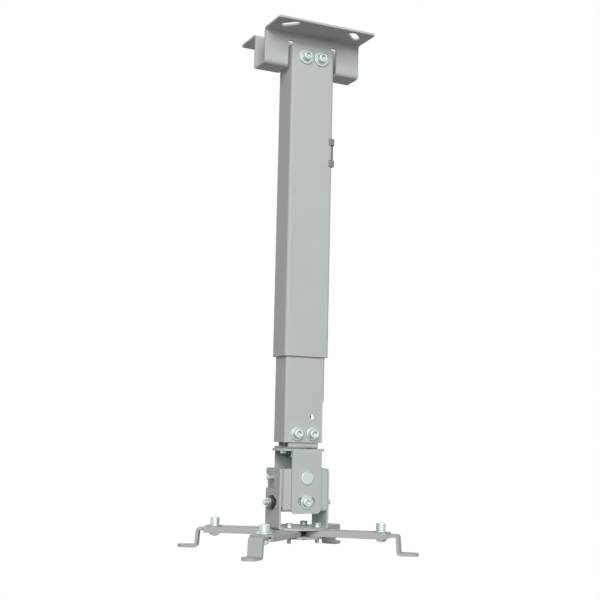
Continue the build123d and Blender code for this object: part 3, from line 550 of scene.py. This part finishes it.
def flat_washer(work, place, length, outer, hole):
    roll = min(ROLL_MM, ROLL_SHARE * length)
    rim = [(low * roll, outer - inset * roll) for low, inset in WASHER_RIM]
    rings = [(-roll, hole), (0, hole + roll)] + [(-low, radius) for low, radius in rim]
    rings += [(-length + low, radius) for low, radius in reversed(rim[1:])]
    rings += [(-length, hole + roll), (-length + roll, hole)]
    turn_solid(work, place, rings, ROUND_STEPS, hollow=True)


def headed_pin(work, place, length, head, height, shank, tail=0.0, tail_height=0.0):
    """Pin with a flat head, and another at its far end where it has a tail."""
    rings = [(-low, head - inset) for low, inset in PIN_RIM] + [(-height, head), (-height, shank)]
    if tail > 0:
        rings += [(-length + tail_height, shank), (-length + tail_height, tail)]
    end = tail if tail > 0 else shank
    rings += [(-length + BROKEN_EDGE, end), (-length, end - BROKEN_EDGE)]
    turn_solid(work, place, rings, ROUND_STEPS)


def stud(work, place, length, head, height, shank, pitch, thread):
    """Stud put through from inside: its thread points outward, its head is the far end."""
    rings = [(-h, r) for h, r in reversed(thread_rings(thread, 0.0, shank, pitch))]
    rings += [(-thread - RUN_OUT, shank), (-length + height, shank), (-length + height, head)]
    rings += [(-length + BROKEN_EDGE, head), (-length, head - BROKEN_EDGE)]
    turn_solid(work, place, rings, SCREW_STEPS)


print("a washer's rim rolls over by up to", ROLL_MM, "mm")

# %% [markdown]
# ## Put them in
# Each node of stand-ins is replaced by one mesh that holds all its copies. It rides on the
# same body and takes the same finish. Smooth shading with sharp edges above 35 degrees
# keeps the round parts round and the corners crisp.

# %% One mesh for each node
SHARP_DEGREES = 35


def replace_fasteners(node, facing, make, **sizes):
    work = bmesh.new()
    found = places(node, facing)
    for place, length in found:
        make(work, place, length, **sizes)
    bmesh.ops.recalc_face_normals(work, faces=work.faces)
    mesh = bpy.data.meshes.new(f"real_{node}")
    work.to_mesh(mesh)
    work.free()
    mesh.shade_smooth()
    mesh.set_sharp_from_angle(angle=math.radians(SHARP_DEGREES))
    mesh.materials.append(FINISHES[slot_of[node]])
    piece = bpy.data.objects.new(f"real_{node}", mesh)
    bpy.context.scene.collection.objects.link(piece)
    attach(piece, body_of[node])
    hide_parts(node)
    print(node, len(found), "copies", len(mesh.polygons), "faces")


# %% [markdown]
# ## On the tubes
# Two cap screws with wide washers hold the bracket to the outer tube, on the front and again
# on the back, and two pairs more hold the swivel's insert in the inner tube. Two lock
# screws at the back press on the inner tube and set the height. All are M5, and the washers
# are as wide as in the picture.

# %% Tube screws, washers and nuts
M5_NUT = {"flats": 8.0, "hole": 2.55}
WASHER_HOLE = 2.8
replace_fasteners("top_screws", FACES, cap_screw, size=M5_CAP)
replace_fasteners("top_washers", FACES, flat_washer, outer=7.3, hole=WASHER_HOLE)
replace_fasteners("top_nuts", FACES, hex_nut, **M5_NUT)
replace_fasteners("tube_screws", FACES, cap_screw, size=M5_CAP)
replace_fasteners("tube_washers", FACES, flat_washer, outer=6.0, hole=WASHER_HOLE)
replace_fasteners("insert_nuts", FACES, hex_nut, **M5_NUT)
replace_fasteners("lock_screws", FACES, cap_screw, size=M5_CAP)

# %% [markdown]
# ## On the swivel and tilt head
# The head turns about an M8 bolt, and two stop screws run in its curved slots. Each tilt has
# two pivots above and two clamping screws in curved slots below. Those of the front and
# back tilt it sideways. Those of the left and right side, which come out as studs with
# nuts on black washers, tilt it forwards and backwards.

# %% Swivel and tilt head
M8_NUT = {"flats": 13.0, "hole": 4.05}
M8_BOLT = {"flats": 13.0, "height": 5.3, "shank": 4.0, "pitch": 1.25, "thread": 6.0}
ROLL_PIVOT = {"head": 6.0, "height": 1.4, "shank": 4.0, "tail": 6.0, "tail_height": 1.5}
SIDE_STUD = {"head": 4.0, "height": 1.5, "shank": 2.5, "pitch": 0.8, "thread": 6.6}
replace_fasteners("swivel_bolt", "up", hex_bolt, **M8_BOLT)
replace_fasteners("swivel_nut", "up", hex_nut, **M8_NUT)
replace_fasteners("swivel_stops", "down", cap_screw, size=STOP_CAP, knurl=False, thread=6.0)
replace_fasteners("roll_pivots", FACES, headed_pin, **ROLL_PIVOT)
replace_fasteners("roll_screws", FACES, cap_screw, size=M5_LOW_CAP, knurl=False)
replace_fasteners("roll_washers", FACES, flat_washer, outer=6.2, hole=WASHER_HOLE)
replace_fasteners("roll_nuts", FACES, hex_nut, **M5_NUT)
replace_fasteners("pitch_nuts", "sides", hex_nut, **M5_NUT)
replace_fasteners("pitch_bolts", "sides", stud, **SIDE_STUD)
replace_fasteners("pitch_pads", "sides", flat_washer, outer=6.5, hole=WASHER_HOLE)

# %% [markdown]
# ## On the arms and feet
# Each arm turns about a small M4 cap screw, and each foot is clamped to its arm by a tall M5
# cap screw through the arm's slot, with a washer above and a nut below. The ends of both
# stick out underneath, so they get their threads.

# %% Arms and feet
replace_fasteners("arm_pivots", "up", cap_screw, size=M4_CAP, thread=4.6)
for arm in ("left", "right", "front", "back"):
    replace_fasteners(f"foot_washer_{arm}", "up", flat_washer, outer=6.8, hole=WASHER_HOLE)
    replace_fasteners(f"foot_screw_{arm}", "up", cap_screw, size=M5_TALL_CAP, thread=4.8, knurl=False)
    replace_fasteners(f"foot_nut_{arm}", "up", hex_nut, **M5_NUT)

# %% [markdown]
# ## The studio
# A product picture like this one has soft light from the front left, somewhat above the
# object, and little light from below, so faces that look down stay dark. One large area lamp
# gives that. Three weaker ones keep the back, the right side and the low left readable. The
# world is a dim warm grey for lighting, but white for the camera and in reflections, so that
# metal mirrors the white ground.

# %% What the camera sees
WHITE = "#FFFFFF"


def in_view(tree):
    """1 for a ray that starts at the camera, also by way of a reflection or through glass."""
    path = add_node(tree, "ShaderNodeLightPath")
    direct = add_node(
        tree, "ShaderNodeMath", {"operation": "MAXIMUM"},
        {0: path.outputs["Is Camera Ray"], 1: path.outputs["Is Glossy Ray"]})
    shown = add_node(
        tree, "ShaderNodeMath", {"operation": "MAXIMUM"},
        {0: direct.outputs[0], 1: path.outputs["Is Transmission Ray"]})
    return shown.outputs[0]


print("backdrop", WHITE)

# %% World
WORLD_LEVEL = 0.15
WORLD_TINT = "#FFF9F4"
world = bpy.data.worlds.new("studio")
bpy.context.scene.world = world
world.use_nodes = True
world.node_tree.nodes.clear()
dim = add_node(
    world.node_tree, "ShaderNodeBackground", {"Color": linear(WORLD_TINT), "Strength": WORLD_LEVEL})
white = add_node(
    world.node_tree, "ShaderNodeBackground", {"Color": linear(WHITE), "Strength": 1.0})
sky = add_node(
    world.node_tree, "ShaderNodeMixShader",
    links={0: in_view(world.node_tree), 1: dim.outputs[0], 2: white.outputs[0]})
add_node(world.node_tree, "ShaderNodeOutputWorld", links={"Surface": sky.outputs[0]})
print("world", WORLD_TINT, "at", WORLD_LEVEL)

# %% [markdown]
# ## The lamps
# An area lamp's power has to grow with the square of its distance. So each lamp is given by
# the light that it should throw on a surface that faces it, where 1 shows a colour about as
# it is written, and the power is worked out from that.

# %% Lamps
LAMP_DISTANCE = 3.0
LAMP_TARGET = Vector((0.0, 0.0, -0.25))
LAMPS = {
    # name: direction from the mount, light on a facing surface, width and height in metres
    "key": ((-0.38, -0.92, 0.38), 1.06, (2.4, 2.0)),
    "rear": ((0.2, 0.95, 0.15), 0.5, (2.4, 2.2)),
    "side": ((0.95, 0.3, 0.1), 0.22, (1.8, 2.2)),
    "low_left": ((-0.95, 0.2, -0.1), 0.06, (2.4, 0.8)),
}
for name, (direction, amount, size) in LAMPS.items():
    lamp = bpy.data.lights.new(name, "AREA")
    lamp.shape = "RECTANGLE"
    lamp.size, lamp.size_y = size
    lamp.energy = amount * math.pi ** 2 * LAMP_DISTANCE ** 2
    stand = bpy.data.objects.new(name, lamp)
    bpy.context.scene.collection.objects.link(stand)
    way = Vector(direction).normalized()
    stand.location = LAMP_TARGET + way * LAMP_DISTANCE
    stand.rotation_euler = way.to_track_quat("Z", "Y").to_euler()
    print(name, round(lamp.energy, 1), "W")

# %% [markdown]
# ## The floor
# The mount hangs, so the floor is well below it. It is a plain pale sheet that catches the
# soft shadow. A pale floor would also light every face that looks down, which are the darkest
# ones in the picture. So the floor is pale where it is seen, directly or in a reflection, and
# a mid grey for the light that it sends back up. Away from the mount it fades into the white
# of the world, so that it has no visible edge from any side.

# %% Floor
FLOOR_LEVEL = -1.05
FLOOR_HALF = 2.4
FLOOR_SEEN = "#E9E9E8"
FLOOR_BOUNCE = "#7D7A77"
FLOOR_ROUGHNESS = 0.8
FADE_FROM = 0.7
FADE_TO = 2.3
floor_mesh = bpy.data.meshes.new("floor")
floor_mesh.from_pydata(
    [(-FLOOR_HALF, -FLOOR_HALF, FLOOR_LEVEL), (FLOOR_HALF, -FLOOR_HALF, FLOOR_LEVEL),
     (FLOOR_HALF, FLOOR_HALF, FLOOR_LEVEL), (-FLOOR_HALF, FLOOR_HALF, FLOOR_LEVEL)],
    [], [(0, 1, 2, 3)])
floor = bpy.data.objects.new("floor", floor_mesh)
bpy.context.scene.collection.objects.link(floor)
floor_finish, floor_tree = new_finish("pale_floor")
shown = in_view(floor_tree)
paper = add_node(floor_tree, "ShaderNodeMix", {"data_type": "RGBA"}, {0: shown})
paper.inputs[6].default_value = linear(FLOOR_BOUNCE)
paper.inputs[7].default_value = linear(FLOOR_SEEN)
matt = add_node(
    floor_tree, "ShaderNodeBsdfPrincipled", {"Roughness": FLOOR_ROUGHNESS},
    {"Base Color": paper.outputs[2]})
spot = add_node(floor_tree, "ShaderNodeTexCoord").outputs["Object"]
flat_spot = add_node(
    floor_tree, "ShaderNodeVectorMath", {"operation": "MULTIPLY", 1: (1.0, 1.0, 0.0)}, {0: spot})
away = add_node(floor_tree, "ShaderNodeVectorMath", {"operation": "LENGTH"}, {0: flat_spot.outputs[0]})
fade = add_node(
    floor_tree, "ShaderNodeMapRange",
    {"interpolation_type": "SMOOTHSTEP", "From Min": FADE_FROM, "From Max": FADE_TO},
    {"Value": away.outputs["Value"]})
fade_seen = add_node(
    floor_tree, "ShaderNodeMath", {"operation": "MULTIPLY"}, {0: fade.outputs[0], 1: shown})
glow = add_node(floor_tree, "ShaderNodeEmission", {"Color": linear(WHITE), "Strength": 1.0})
ground = add_node(
    floor_tree, "ShaderNodeMixShader",
    links={0: fade_seen.outputs[0], 1: matt.outputs[0], 2: glow.outputs[0]})
close_finish(floor_tree, ground)
floor_mesh.materials.append(floor_finish)
print("floor at", FLOOR_LEVEL, "m, white from", FADE_TO, "m out")
